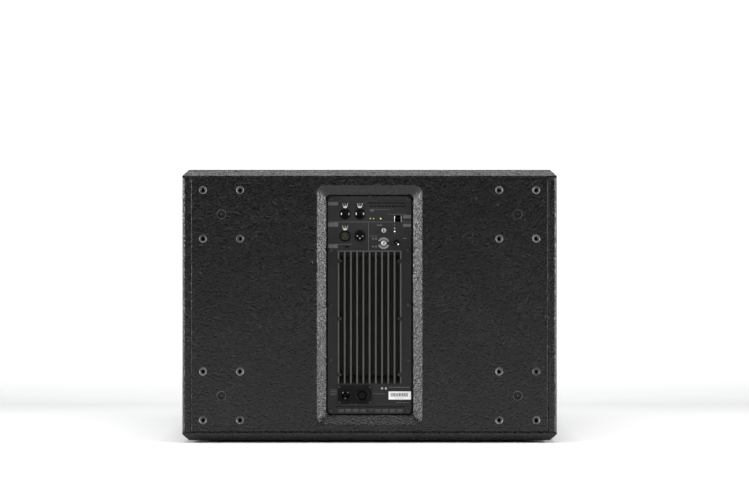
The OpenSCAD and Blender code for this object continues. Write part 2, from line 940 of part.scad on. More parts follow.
function spline(a, b, c, d, t) = 0.5 * (2 * b + (c - a) * t + (2 * a - 5 * b + 4 * c - d) * t * t
    + (3 * b - a - 3 * c + d) * t * t * t);

function route_point(i, t) =
    spline(cable_route[i - 1], cable_route[i], cable_route[i + 1], cable_route[i + 2], t);

module speaker_cable() {
    last = len(cable_route) - 3;
    path = concat(
        [for (i = [1:last]) for (k = [0:cable_steps - 1]) route_point(i, k / cable_steps)],
        [cable_route[last + 1]]);
    n = len(path);
    points = [for (i = [0:n - 1])
        let (along = path[min(i + 1, n - 1)] - path[max(i - 1, 0)],
            across = cross(along, [0, 0, 1]) / norm(cross(along, [0, 0, 1])),
            up = cross(across, along) / norm(along))
        for (k = [0:cable_sides - 1])
            path[i] + cable_r * (across * cos(360 * k / cable_sides) + up * sin(360 * k / cable_sides))];
    sides = [for (i = [0:n - 2]) for (k = [0:cable_sides - 1])
        let (next = (k + 1) % cable_sides, ring = i * cable_sides, after = ring + cable_sides)
        [ring + k, ring + next, after + next, after + k]];
    caps = [
        [for (k = [cable_sides - 1:-1:0]) k],
        [for (k = [0:cable_sides - 1]) (n - 1) * cable_sides + k]
    ];
    color([0.4, 0.1, 0.1]) translate([0, 0, mid_z]) polyhedron(points, concat(sides, caps));
}

top_panel();
bottom_panel();
left_side_panel();
right_side_panel();
rear_panel();
front_baffle();
window_brace();
left_port_wall();
right_port_wall();
amp_mounting_frame();
amp_gasket();
amp_face_plate();
amp_plate_screws();
amp_heatsink();
heatsink_screws();
amp_rear_cover();
power_supply_board();
amplifier_board();
control_board();
left_network_socket();
right_network_socket();
left_network_latch();
right_network_latch();
xlr_input_socket();
xlr_input_latch();
xlr_link_socket();
xlr_link_pins();
power_connector_flange();
power_inlet_socket();
power_inlet_contacts();
power_outlet_socket();
connector_screws();
usb_socket();
gain_knob();
preset_knob();
toggle_switch_body();
toggle_lever();
slide_switch_body();
slide_switch_slider();
indicator_lights();
rating_label();
castor_inserts();
blanking_screws();
woofer_basket();
woofer_magnet();
woofer_yoke();
woofer_cone();
voice_coil();
woofer_surround();
woofer_spider();
woofer_screws();
grille_battens();
grille_foam();
grille();
cabinet_screws();
left_handle();
right_handle();
pole_socket();
rubber_feet();
speaker_cable();
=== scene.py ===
"""Looks of the powered subwoofer cabinet, seen from the rear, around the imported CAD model."""
import json
import math

import bmesh
import bpy
from mathutils import Matrix, Vector


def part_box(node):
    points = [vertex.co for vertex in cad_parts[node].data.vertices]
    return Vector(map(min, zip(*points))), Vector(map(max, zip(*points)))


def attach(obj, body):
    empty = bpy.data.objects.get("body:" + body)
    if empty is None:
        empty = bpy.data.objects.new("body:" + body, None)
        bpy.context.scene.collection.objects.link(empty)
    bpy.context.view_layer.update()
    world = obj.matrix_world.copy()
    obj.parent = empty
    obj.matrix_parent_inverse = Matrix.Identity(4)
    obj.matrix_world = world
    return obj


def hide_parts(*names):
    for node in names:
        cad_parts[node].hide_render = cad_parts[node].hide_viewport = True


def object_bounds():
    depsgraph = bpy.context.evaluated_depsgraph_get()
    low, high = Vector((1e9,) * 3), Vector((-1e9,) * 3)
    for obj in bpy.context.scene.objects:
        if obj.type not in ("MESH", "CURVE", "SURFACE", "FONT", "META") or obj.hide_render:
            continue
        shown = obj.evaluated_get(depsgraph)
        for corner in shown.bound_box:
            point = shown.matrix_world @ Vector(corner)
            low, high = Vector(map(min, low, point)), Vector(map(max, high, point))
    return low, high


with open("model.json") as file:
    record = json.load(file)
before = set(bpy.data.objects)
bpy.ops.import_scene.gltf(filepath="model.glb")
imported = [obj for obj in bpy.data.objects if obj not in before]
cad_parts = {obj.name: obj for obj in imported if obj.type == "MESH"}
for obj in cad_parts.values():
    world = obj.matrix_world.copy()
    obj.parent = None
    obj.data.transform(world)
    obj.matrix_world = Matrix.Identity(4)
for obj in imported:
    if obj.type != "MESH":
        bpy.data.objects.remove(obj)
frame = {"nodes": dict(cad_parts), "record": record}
cad_lo, cad_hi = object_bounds()

MM = 0.001
BODY = "cabinet"
LOOK = "look_"

# Camera, in metres: level, a little to the right, at the photograph's height
CAMERA_X = 0.0106
CAMERA_Z = 0.417
CAMERA_DISTANCE = 5.0
SEEN_WIDTH = 1.6178
SENSOR = 36.0

# Lights, in metres: two low at the sides, almost level with the rear face, and one above
SIDE_LIGHT_X = 2.6
SIDE_LIGHT_Y = -0.88
SIDE_RADIANCE = 22.0
TOP_LIGHT_Z = 3.0
TOP_RADIANCE = 6.0
WORLD_STRENGTH = 0.1

# Toggle lever, in degrees: where it leans to, and how far from the plate's normal
TOGGLE_DIRECTION = -50
TOGGLE_TILT = 25

# Upper edge of the heatsink opening, above the middle of the plate, and its width, in millimetres
SINK_TOP = 115.7
SINK_WIDTH = 139.0

# Grille perforation, in millimetres
GRILLE_PITCH = 11.0
GRILLE_HOLE = 4.6
GRILLE_BAND = 14.0


# Places taken from the frame, in millimetres

def corners(node):
    lo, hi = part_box(node)
    return lo / MM, hi / MM


def middle(node):
    lo, hi = corners(node)
    return (lo + hi) / 2


def mount(name):
    for row in frame["record"]["mounts"]:
        if row["name"] == name:
            return Vector(row["pos_m"]) / MM
    raise KeyError(name)


def joint_place(name):
    for row in frame["record"]["behaviour"]["joints"]:
        if row["name"] == name:
            return Vector(row["pos_m"]) / MM
    raise KeyError(name)


def islands(node):
    """The (lowest, highest) corners of every separate solid in a CAD node, in millimetres"""
    bm = bmesh.new()
    bm.from_mesh(frame["nodes"][node].data)
    bmesh.ops.remove_doubles(bm, verts=bm.verts, dist=0.01 * MM)
    left = set(bm.verts)
    found = []
    while left:
        group = [left.pop()]
        for vert in group:
            for edge in vert.link_edges:
                other = edge.other_vert(vert)
                if other in left:
                    left.discard(other)
                    group.append(other)
        lo = Vector([min(v.co[k] for v in group) for k in range(3)]) / MM
        hi = Vector([max(v.co[k] for v in group) for k in range(3)]) / MM
        found.append((lo, hi))
    bm.free()
    return sorted(found, key=lambda pair: tuple(round(c, 2) for c in pair[0]))


MID_Z = middle("rear_panel").z
PLATE_Y = corners("amp_face_plate")[0].y
REAR_Y = corners("rear_panel")[0].y


# Outlines, as (across, up) points

def circle(radius, steps=40):
    turn = [2 * math.pi * k / steps for k in range(steps)]
    return [(radius * math.cos(a), radius * math.sin(a)) for a in turn]


def rounded(width, height, radius, steps=5):
    points = []
    spots = ((1, 1, 0), (-1, 1, 90), (-1, -1, 180), (1, -1, 270))
    for sx, sz, start in spots:
        for k in range(steps + 1):
            a = math.radians(start + 90 * k / steps)
            x = sx * (width / 2 - radius) + radius * math.cos(a)
            z = sz * (height / 2 - radius) + radius * math.sin(a)
            points.append((x, z))
    return points


def hexagon(radius, steps=24):
    points = []
    for k in range(steps):
        a = 2 * math.pi * k / steps
        r = radius * math.cos(math.pi / 6) / math.cos(a % (math.pi / 3) - math.pi / 6)
        points.append((r * math.cos(a), r * math.sin(a)))
    return points


def fluted(radius, depth, teeth):
    points = []
    for k in range(2 * teeth):
        a = math.pi * k / teeth
        r = radius - depth * (k % 2)
        points.append((r * math.cos(a), r * math.sin(a)))
    return points


def keyed(radius, key, steps=40):
    """A circle with a wider keyway at the top"""
    points = []
    for k in range(steps):
        a = 2 * math.pi * k / steps
        r = radius + (key if abs(a - math.pi / 2) < 0.2 else 0)
        points.append((r * math.cos(a), r * math.sin(a)))
    return points


def turned_by(points, degrees):
    c = math.cos(math.radians(degrees))
    s = math.sin(math.radians(degrees))
    return [(x * c - z * s, x * s + z * c) for x, z in points]


# Building in mesh code; millimetres in, metres out

def ring(bm, at, outline, y):
    return [bm.verts.new(((at[0] + x) * MM, y * MM, (at[1] + z) * MM)) for x, z in outline]


def bridge(bm, a, b):
    for k in range(len(a)):
        n = (k + 1) % len(a)
        bm.faces.new((a[k], a[n], b[n], b[k]))


def stack(bm, at, layers, closed=False):
    """Joins outlines [(points, y)] of the same length about at = (across, up)"""
    rings = [ring(bm, at, outline, y) for outline, y in layers]
    for a, b in zip(rings, rings[1:]):
        bridge(bm, a, b)
    if closed:
        bridge(bm, rings[-1], rings[0])
    else:
        bm.faces.new(rings[0])
        bm.faces.new(rings[-1])


def turned(bm, at, profile, steps=40, closed=False):
    """A body of revolution along Y, from (radius, y) points"""
    stack(bm, at, [(circle(r, steps), y) for r, y in profile], closed)


def pad(bm, at, width, height, radius, front, back, chamfer):
    """A rounded plate with a chamfered front edge"""
    full = rounded(width, height, radius)
    inset = rounded(width - 2 * chamfer, height - 2 * chamfer, max(radius - chamfer, 0.05))
    step = chamfer if back > front else -chamfer
    stack(bm, at, [(inset, front), (full, front + step), (full, back)])


def sleeve(bm, at, outer, inner, front, back):
    """A tube between two outlines of the same length"""
    stack(bm, at, [(outer, back), (outer, front), (inner, front), (inner, back)], closed=True)


def pierced(bm, at, outline, holes, front, back, depth):
    """A plate with blind holes [(across, up, outline)] in its front face"""
    rim = ring(bm, at, outline, front)
    loops = [rim]
    for x, z, hole in holes:
        mouth = ring(bm, (at[0] + x, at[1] + z), hole, front)
        floor = ring(bm, (at[0] + x, at[1] + z), hole, front + depth)
        bridge(bm, mouth, floor)
        bm.faces.new(floor)
        loops.append(mouth)
    edges = []
    for loop in loops:
        for k in range(len(loop)):
            pair = (loop[k], loop[(k + 1) % len(loop)])
            edge = bm.edges.get(pair)
            edges.append(edge if edge else bm.edges.new(pair))
    bmesh.ops.triangle_fill(bm, use_beauty=True, use_dissolve=False, edges=edges)
    far = ring(bm, at, outline, back)
    bridge(bm, rim, far)
    bm.faces.new(far)


def placed(bm, build, matrix):
    """Builds into bm with build(part), then moves what it made by a matrix in metres"""
    part = bmesh.new()
    build(part)
    bmesh.ops.transform(part, matrix=matrix, verts=part.verts)
    mesh = bpy.data.meshes.new("part")
    part.to_mesh(mesh)
    part.free()
    bm.from_mesh(mesh)
    bpy.data.meshes.remove(mesh)


def piece(name, bm, material, replaced=(), body=BODY, angle=35):
    """Makes a piece from bm, with a material slot's finish, riding on a body"""
    bmesh.ops.recalc_face_normals(bm, faces=bm.faces)
    mesh = bpy.data.meshes.new(name)
    bm.to_mesh(mesh)
    bm.free()
    mesh.shade_smooth()
    mesh.set_sharp_from_angle(angle=math.radians(angle))
    obj = bpy.data.objects.new(name, mesh)
    bpy.context.scene.collection.objects.link(obj)
    mesh.materials.append(MATERIALS[material])
    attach(obj, body)
    if replaced:
        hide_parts(*replaced)
    return obj


# Materials: every one is built from noise in object space

def new_material(name):
    material = bpy.data.materials.new(LOOK + name)
    material.use_nodes = True
    return material, material.node_tree, material.node_tree.nodes["Principled BSDF"]


def node(tree, kind, inputs=None, **settings):
    made = tree.nodes.new(kind)
    for key, value in settings.items():
        setattr(made, key, value)
    for key, value in (inputs or {}).items():
        if isinstance(value, bpy.types.NodeSocket):
            tree.links.new(value, made.inputs[key])
        else:
            made.inputs[key].default_value = value
    return made


def object_space(tree, stretch=(1, 1, 1)):
    coords = node(tree, "ShaderNodeTexCoord")
    return node(tree, "ShaderNodeMapping", {0: coords.outputs["Object"], 3: stretch}).outputs[0]


def noise(tree, space, scale, detail=3.0, rough=0.5):
    inputs = {"Vector": space, "Scale": scale, "Detail": detail, "Roughness": rough}
    return node(tree, "ShaderNodeTexNoise", inputs).outputs[0]


def cells(tree, space, scale, smooth=0.5):
    inputs = {"Vector": space, "Scale": scale, "Smoothness": smooth}
    return node(tree, "ShaderNodeTexVoronoi", inputs, feature="SMOOTH_F1").outputs["Distance"]


def spread(tree, value, low, high, to_low=0.0, to_high=1.0):
    inputs = {0: value, 1: low, 2: high, 3: to_low, 4: to_high}
    return node(tree, "ShaderNodeMapRange", inputs).outputs[0]


def combine(tree, operation, a, b):
    return node(tree, "ShaderNodeMath", {0: a, 1: b}, operation=operation).outputs[0]


def blend_colours(tree, factor, low, high):
    mix = node(tree, "ShaderNodeMix", data_type="RGBA")
    tree.links.new(factor, mix.inputs[0])
    for socket, value in ((mix.inputs[6], low), (mix.inputs[7], high)):
        if isinstance(value, bpy.types.NodeSocket):
            tree.links.new(value, socket)
        else:
            socket.default_value = (*value, 1)
    return mix.outputs[2]


def bump(tree, height, strength, distance, under=None):
    inputs = {"Height": height, "Strength": strength, "Distance": distance}
    made = node(tree, "ShaderNodeBump", inputs)
    if under:
        tree.links.new(under, made.inputs["Normal"])
    return made.outputs[0]


def finish_surface(tree, bsdf, colour, rough, normal, metal=0.0, gloss=0.5):
    tree.links.new(colour, bsdf.inputs["Base Color"])
    tree.links.new(rough, bsdf.inputs["Roughness"])
    tree.links.new(normal, bsdf.inputs["Normal"])
    bsdf.inputs["Metallic"].default_value = metal
    bsdf.inputs["Specular IOR Level"].default_value = gloss


def pebbled_paint():
    """Thick textured paint: rounded grains 3 to 6 mm across, dark pits; the colour follows the grains'
    height, painted shade in the hollows between grains and painted highlight on their tops
    """
    material, tree, bsdf = new_material("painted_plywood")
    space = object_space(tree)
    small = spread(tree, cells(tree, space, 300.0, 0.3), 0.05, 0.6, 1.0, 0.0)
    large = spread(tree, cells(tree, space, 165.0, 0.4), 0.05, 0.6, 1.0, 0.0)
    lumps = noise(tree, space, 230.0, 3.0, 0.6)
    patches = noise(tree, space, 11.0, 3.0)
    pits = spread(tree, noise(tree, space, 70.0, 1.0), 0.67, 0.73)
    height = combine(tree, "ADD", small, combine(tree, "MULTIPLY", large, lumps))
    height = combine(tree, "ADD", height, lumps)
    height = combine(tree, "SUBTRACT", height, pits)
    normal = bump(tree, height, 1.0, 0.0005)
    # painted shade and painted highlight: colour darkens into the hollows between grains and lightens on
    # the grain tops
    tone = combine(tree, "MULTIPLY", height, patches)
    tone = spread(tree, tone, 0.5, 1.15)
    colour = blend_colours(tree, tone, (0.0008, 0.0008, 0.0008), (0.0175, 0.0175, 0.018))
    colour = blend_colours(tree, pits, colour, (0.001, 0.001, 0.001))
    rough = spread(tree, lumps, 0.3, 0.7, 0.2, 0.4)
    finish_surface(tree, bsdf, colour, rough, normal, gloss=0.45)
    return material


def plain_surface(name, dark, light, rough, metal=0.0, grain=400.0, relief=0.00005, gloss=0.5):
    """A finish with mottled colour, uneven roughness, fine relief and faint rubbed patches"""
    material, tree, bsdf = new_material(name)
    space = object_space(tree)
    broad = noise(tree, space, grain / 12, 4.0)
    fine = noise(tree, space, grain, 2.0)
    rubbed = spread(tree, noise(tree, space, grain / 25, 6.0, 0.7), 0.58, 0.72, 0.0, 0.35)
    tone = combine(tree, "ADD", spread(tree, broad, 0.3, 0.7), rubbed)
    colour = blend_colours(tree, tone, dark, light)
    roughness = spread(tree, fine, 0.25, 0.75, rough[0], rough[1])
    normal = bump(tree, fine, 0.5, relief)
    finish_surface(tree, bsdf, colour, roughness, normal, metal, gloss)
    return material


def powder_coat():
    """Dark grey powder coat; the outermost faces of the fins are lighter, a painted highlight, and the deep
    channels between them are lighter, painted light
    """
    material, tree, bsdf = new_material("plate_coat")
    space = object_space(tree)
    fine = noise(tree, space, 1500.0, 2.0)
    broad = noise(tree, space, 22.0, 4.0)
    axes = node(tree, "ShaderNodeSeparateXYZ", {0: space}).outputs
    deep = axes[1]
    # painted light: deep in the channels between the fins the coat is coloured lighter than the plate's
    # face
    inside = spread(tree, deep, (PLATE_Y + 12) * MM, (PLATE_Y + 0.4) * MM, 0.0, 1.0)
    # painted highlight: the outermost faces of the fins are coloured lighter
    fin_tip_highlight = spread(tree, deep, (PLATE_Y - 0.3) * MM, (PLATE_Y - 0.9) * MM, 0.0, 1.0)
    tone = combine(tree, "MULTIPLY", inside, spread(tree, broad, 0.25, 0.75, 0.75, 1.0))
    connector_field = (MID_Z + SINK_TOP) * MM
    upper = spread(tree, axes[2], connector_field, connector_field + 0.06)
    face = blend_colours(tree, upper, (0.0085, 0.0085, 0.009), (0.0165, 0.0165, 0.0165))
    colour = blend_colours(tree, tone, (0.026, 0.026, 0.023), face)
    colour = blend_colours(tree, fin_tip_highlight, colour, (0.07, 0.07, 0.065))
    rough = spread(tree, fine, 0.3, 0.7, 0.42, 0.6)
    normal = bump(tree, fine, 0.4, 0.00006)
    finish_surface(tree, bsdf, colour, rough, normal, gloss=0.3)
    return material


def plywood():
    """Sanded plywood: stretched grain along the panel"""
    material, tree, bsdf = new_material("bare_plywood")
    space = object_space(tree, (3, 3, 26))
    grain = noise(tree, space, 14.0, 6.0, 0.65)
    fine = noise(tree, space, 90.0, 2.0)
    colour = blend_colours(tree, spread(tree, grain, 0.3, 0.7), (0.3, 0.19, 0.1), (0.56, 0.4, 0.24))
    straight = object_space(tree)
    depth = node(tree, "ShaderNodeSeparateXYZ", {0: straight}).outputs[1]
    seam = corners("amp_mounting_frame")[0].y
    face = corners("front_baffle")[1].y
    rear_spray = spread(tree, depth, (seam + 3) * MM, (seam + 0.5) * MM)
    front_spray = spread(tree, depth, (face - 3) * MM, (face - 0.5) * MM)
    overspray = combine(tree, "MAXIMUM", rear_spray, front_spray)
    colour = blend_colours(tree, overspray, colour, (0.002, 0.002, 0.002))
    rough = spread(tree, fine, 0.3, 0.7, 0.55, 0.8)
    finish_surface(tree, bsdf, colour, rough, bump(tree, grain, 0.4, 0.0002), gloss=0.15)
    return material


def woven(name, dark, light):
    """Treated cloth: two crossing threads"""
    material, tree, bsdf = new_material(name)
    space = object_space(tree)
    across = node(tree, "ShaderNodeTexWave", {"Vector": space, "Scale": 420.0}).outputs[1]
    threads = {"Vector": space, "Scale": 420.0}
    along = node(tree, "ShaderNodeTexWave", threads, bands_direction="Z").outputs[1]
    weave = combine(tree, "MULTIPLY", across, along)
    fuzz = noise(tree, space, 200.0, 3.0)
    colour = blend_colours(tree, combine(tree, "MULTIPLY", weave, fuzz), dark, light)
    rough = spread(tree, fuzz, 0.3, 0.7, 0.7, 0.95)
    finish_surface(tree, bsdf, colour, rough, bump(tree, weave, 0.6, 0.0002))
    return material


def foam():
    """Open-cell acoustic foam"""
    material, tree, bsdf = new_material("grille_foam")
    space = object_space(tree)
    pores = cells(tree, space, 900.0, 0.2)
    broad = noise(tree, space, 30.0, 3.0)
    tone = combine(tree, "MULTIPLY", pores, broad)
    colour = blend_colours(tree, tone, (0.004, 0.004, 0.004), (0.05, 0.05, 0.05))
    rough = spread(tree, broad, 0.3, 0.7, 0.85, 1.0)
    finish_surface(tree, bsdf, colour, rough, bump(tree, pores, 0.9, 0.0006))
    return material


def lens(name, colour, glow):
    """A light pipe, cloudy inside, glowing by glow"""
    material, tree, bsdf = new_material(name)
    space = object_space(tree)
    cloud = noise(tree, space, 900.0, 2.0)
    dim = tuple(0.55 * c for c in colour)
    tint = blend_colours(tree, cloud, dim, colour)
    rough = spread(tree, cloud, 0.3, 0.7, 0.15, 0.3)
    finish_surface(tree, bsdf, tint, rough, bump(tree, cloud, 0.2, 0.00005))
    tree.links.new(tint, bsdf.inputs["Emission Color"])
    bsdf.inputs["Emission Strength"].default_value = glow
    return material


def make_materials():
    plain = plain_surface
    made = [
        pebbled_paint(), powder_coat(), plywood(), foam(),
        plain("gasket_rubber", (0.001,) * 3, (0.004,) * 3, (0.75, 0.95), grain=700.0, gloss=0.2),
        plain("black_screws", (0.008,) * 3, (0.02,) * 3, (0.32, 0.5), grain=900.0),
        plain("zinc_steel", (0.36, 0.37, 0.38), (0.58, 0.58, 0.57), (0.25, 0.5), 1.0),
        plain("circuit_board", (0.01, 0.07, 0.03), (0.03, 0.16, 0.07), (0.35, 0.55)),
        plain("connector_plastic", (0.0015,) * 3, (0.004,) * 3, (0.4, 0.6), grain=900.0, gloss=0.14),
        plain("latch_metal", (0.62, 0.62, 0.58), (0.85, 0.85, 0.8), (0.3, 0.45), 1.0, 600.0),
        # painted highlight: a lighter grey for countersink rims and socket pins where light catches them
        plain("rubbed_rim", (0.05,) * 3, (0.2,) * 3, (0.3, 0.5), 0.35, 700.0),
        plain("dark_screws", (0.002,) * 3, (0.006,) * 3, (0.35, 0.5), grain=900.0, gloss=0.3),
        # painted shade: near-black for hollows and gaps that lie in shade
        plain("dark_cavity", (0.0008,) * 3, (0.002,) * 3, (0.8, 0.95), gloss=0.05),
        plain("contact_brass", (0.5, 0.38, 0.16), (0.78, 0.62, 0.32), (0.2, 0.4), 1.0, 600.0),
        plain("knob_metal", (0.6, 0.6, 0.6), (0.82, 0.82, 0.81), (0.28, 0.45), 1.0, 500.0),
        plain("label_paper", (0.78, 0.78, 0.76), (0.88, 0.88, 0.86), (0.5, 0.65), grain=300.0),
        plain("basket_aluminium", (0.06,) * 3, (0.12,) * 3, (0.4, 0.6), 0.6),
        plain("ferrite", (0.02,) * 3, (0.05,) * 3, (0.5, 0.7)),
        plain("cone_paper", (0.012,) * 3, (0.035,) * 3, (0.7, 0.9), grain=250.0, relief=0.0003),
        woven("surround_cloth", (0.006,) * 3, (0.04,) * 3),
        plain("grille_steel", (0.012,) * 3, (0.028,) * 3, (0.4, 0.6), grain=900.0),
        plain("handle_plastic", (0.01,) * 3, (0.024,) * 3, (0.4, 0.6), grain=700.0, relief=0.0001),
        plain("foot_rubber", (0.008,) * 3, (0.02,) * 3, (0.7, 0.9), grain=500.0),
        plain("cable_jacket", (0.01,) * 3, (0.03,) * 3, (0.45, 0.6), grain=500.0),
        lens("light_lens", (0.75, 0.8, 0.3), 1.5),
        lens("light_lens_half", (0.42, 0.46, 0.16), 0.5),
        lens("light_lens_white", (0.95, 0.95, 0.9), 1.8),
        lens("light_lens_dim", (0.05, 0.05, 0.045), 0.05),
        plain("panel_ink", (0.07, 0.07, 0.072), (0.11, 0.11, 0.115), (0.5, 0.7), grain=900.0),
        plain("bright_ink", (0.28, 0.28, 0.28), (0.42, 0.42, 0.42), (0.5, 0.7), grain=900.0),
        plain("dark_ink", (0.03,) * 3, (0.08,) * 3, (0.5, 0.7), grain=900.0),
        plain("olive_insert", (0.014, 0.015, 0.008), (0.035, 0.036, 0.02), (0.35, 0.5)),
    ]
    return {material.name.removeprefix(LOOK): material for material in made}


MATERIALS = make_materials()


def slot_of(cad_node):
    for row in frame["record"]["subparts"]:
        if row["node"] == cad_node:
            return row["material_slot"]
    raise KeyError(cad_node)


def from_cad(cad_node, width, body=BODY):
    """A CAD node's own shape, its flat faces joined up and its edges rounded"""
    bm = bmesh.new()
    bm.from_mesh(frame["nodes"][cad_node].data)
    bmesh.ops.remove_doubles(bm, verts=bm.verts, dist=0.01 * MM)
    bmesh.ops.dissolve_limit(bm, angle_limit=math.radians(0.5), verts=bm.verts, edges=bm.edges)
    for edge in bm.edges:
        edge.smooth = True
    obj = piece(cad_node + "_finished", bm, slot_of(cad_node), (cad_node,), body, 180)
    if "custom_normal" in obj.data.attributes:
        obj.data.attributes.remove(obj.data.attributes["custom_normal"])
    bevel = obj.modifiers.new("edges", "BEVEL")
    bevel.width = width * MM
    bevel.segments = 2
    bevel.limit_method = "ANGLE"
    bevel.angle_limit = math.radians(30)
    bevel.use_clamp_overlap = False
    bevel.harden_normals = True


def dress_cad_nodes():
    """Gives every CAD node its slot's material, and rounds the edges that show"""
    for row in frame["record"]["subparts"]:
        obj = frame["nodes"][row["node"]]
        material = MATERIALS[row["material_slot"]]
        for k in range(len(obj.data.materials)):
            obj.data.materials[k] = material
    rounding = {
        "top_panel": 1.1, "bottom_panel": 1.1, "left_side_panel": 1.1, "right_side_panel": 1.1,
        "rear_panel": 0.6, "amp_face_plate": 0.12, "amp_heatsink": 0.35, "left_handle": 1.2,
        "right_handle": 1.2, "power_connector_flange": 0.4, "pole_socket": 0.8,
        "castor_inserts": 0.3, "front_baffle": 1.0, "window_brace": 1.0,
        "slide_switch_body": 0.3,
    }
    for name, width in rounding.items():
        from_cad(name, width)
    from_cad("slide_switch_slider", 0.3, "slide_switch")


# Screws

def screw(bm, head_r, head_h, shank_r, length, domed=True):
    """A screw about the origin, its head's underside at y = 0 and its head towards -Y"""
    top = -head_h
    socket = head_r * 0.5
    profile = [(circle(shank_r, 24), length), (circle(shank_r, 24), 0.0), (circle(head_r, 24), 0.0)]
    if domed:
        profile.append((circle(head_r, 24), top * 0.55))
        profile.append((circle(head_r * 0.93, 24), top * 0.85))
    profile.append((circle(head_r * 0.8, 24), top))
    profile.append((hexagon(socket, 24), top))
    profile.append((hexagon(socket * 0.96, 24), top + head_h * 0.6))
    stack(bm, (0, 0), profile)


def screws_from(name, cad_node, head_r, head_h, shank_r, length, material="black_screws"):
    """Builds a screw at every solid of a CAD node whose head looks towards -Y"""
    bm = bmesh.new()
    for lo, hi in islands(cad_node):
        seat = lo.y + head_h
        shift = Matrix.Translation(Vector(((lo.x + hi.x) / 2, seat, (lo.z + hi.z) / 2)) * MM)
        placed(bm, lambda part: screw(part, head_r, head_h, shank_r, length), shift)
    return piece(name, bm, material, (cad_node,))


def outward_screws():
    """The grille's and handles' screws, each facing out of the cabinet, and the driver's"""
    centre = middle("rear_panel")
    for name, head_r, head_h, length in (("cabinet_screws", 4.8, 2.9, 14), ("woofer_screws", 5.0, 5.0, 20)):
        bm = bmesh.new()
        for lo, hi in islands(name):
            spot = (lo + hi) / 2
            size = hi - lo
            if size.x > size.y:
                side = 1 if spot.x > centre.x else -1
                seat = (hi.x if side > 0 else -lo.x) - head_h
                turn = Matrix.Rotation(side * math.pi / 2, 4, "Z")
                place = Vector((side * seat, spot.y, spot.z))
            else:
                turn = Matrix.Rotation(math.pi, 4, "Z")
                place = Vector((spot.x, hi.y - head_h, spot.z))
            shift = Matrix.Translation(place * MM) @ turn
            placed(bm, lambda part: screw(part, head_r, head_h, 2.6, length), shift)
        piece(name + "_made", bm, "black_screws", (name,))


def castor_rings():
    """A countersink ring coloured lighter as a painted highlight, and a near-black well as painted shade,
    in every castor hole; scene pieces, with no CAD solid
    """
    rims = bmesh.new()
    wells = bmesh.new()
    for lo, hi in islands("castor_inserts"):
        at = ((lo.x + hi.x) / 2, (lo.z + hi.z) / 2)
        turned(rims, at, [
            (5.3, REAR_Y + 4.2), (8.4, REAR_Y + 0.5), (8.7, REAR_Y), (8.1, REAR_Y), (4.9, REAR_Y + 3.4),
            (4.6, REAR_Y + 4.2),
        ], 40, closed=True)
        sleeve(wells, at, circle(4.55, 32), circle(4.35, 32), REAR_Y + 3.5, REAR_Y + 10)
    piece("castor_rims", rims, "rubbed_rim")
    piece("castor_wells", wells, "dark_cavity")


def blanking_screws():
    """Countersunk screws; their rims, coloured lighter as a painted highlight, and the bright pins in their
    sockets, a painted highlight, have no CAD solid
    """
    heads = bmesh.new()
    rims = bmesh.new()
    for lo, hi in islands("blanking_screws"):
        at = ((lo.x + hi.x) / 2, (lo.z + hi.z) / 2)
        front = lo.y
        stack(heads, at, [
            (circle(5.1, 24), hi.y), (circle(5.1, 24), front + 5), (circle(9.0, 24), front + 0.7),
            (circle(8.7, 24), front), (circle(4.4, 24), front), (hexagon(3.5, 24), front + 0.4),
            (hexagon(3.4, 24), front + 4.4),
        ])
        turned(rims, at, [
            (9.3, REAR_Y + 1.4), (10.1, REAR_Y + 0.3), (10.1, REAR_Y), (9.7, REAR_Y), (9.1, REAR_Y + 0.9),
        ], 40, closed=True)
        # painted highlight: a bright pin in each screw's socket
        turned(rims, at, [
            (1.5, front + 4.6), (1.5, front + 1.3), (1.2, front + 0.9), (0.5, front + 0.8),
        ], 20)
    piece("blanking_screws_made", heads, "dark_screws", ("blanking_screws",))
    piece("blanking_rims", rims, "rubbed_rim")


def heatsink_lip():
    """A lighter strip over the heatsink opening, a painted highlight along its upper edge, with no CAD
    solid
    """
    lo, hi = corners("amp_heatsink")
    bm = bmesh.new()
    at = ((lo.x + hi.x) / 2, MID_Z + SINK_TOP + 0.9)
    pad(bm, at, SINK_WIDTH, 1.5, 0.6, PLATE_Y - 0.9, PLATE_Y + 0.2, 0.5)
    piece("heatsink_lip", bm, "panel_ink")


# Connectors

def network_socket(side):
    """A round data socket: cup, port with eight contacts and two bright shield springs"""
    at_mount = mount(side + "_network")
    at = (at_mount.x, at_mount.z)
    y = PLATE_Y
    bm = bmesh.new()
    port = rounded(12.6, 10.6, 2.4, 9)
    stack(bm, at, [
        (circle(12.0), y + 30), (circle(12.0), y - 0.6), (circle(11.6), y - 1), (circle(10.7), y - 1),
        (circle(10.2), y - 0.5), (circle(10.2), y + 5), (port, y + 5.2), (port, y + 15),
    ])
    pad(bm, (at[0], at[1] - 1.7), 26, 27.6, 3, y + 3.2, y + 5, 0.3)
    piece(side + "_network_cup", bm, "connector_plastic", (side + "_network_socket",))
    springs = bmesh.new()
    for sx in (-1, 1):
        pad(springs, (at[0] + sx * 8.4, at[1] + 0.4), 2.3, 5.8, 1.1, y + 1.2, y + 5.4, 0.5)
    piece(side + "_network_springs", springs, "latch_metal")
    contacts = bmesh.new()
    for k in range(8):
        pad(contacts, (at[0] + (k - 3.5) * 1.05, at[1] + 3.4), 0.5, 1.8, 0.2, y + 6.5, y + 14, 0.1)
    piece(side + "_network_contacts", contacts, "contact_brass")


CROWN = [
    (-3.0, -5.4), (3.0, -5.4), (4.6, -3.4), (6.4, 4.4), (5.9, 5.2), (5.1, 4.7), (3.5, -1.9), (0.75, -2.9),
    (0.75, 4.1), (0.0, 4.8), (-0.75, 4.1), (-0.75, -2.9), (-3.5, -1.9), (-5.1, 4.7), (-5.9, 5.2),
    (-6.4, 4.4), (-4.6, -3.4),
]


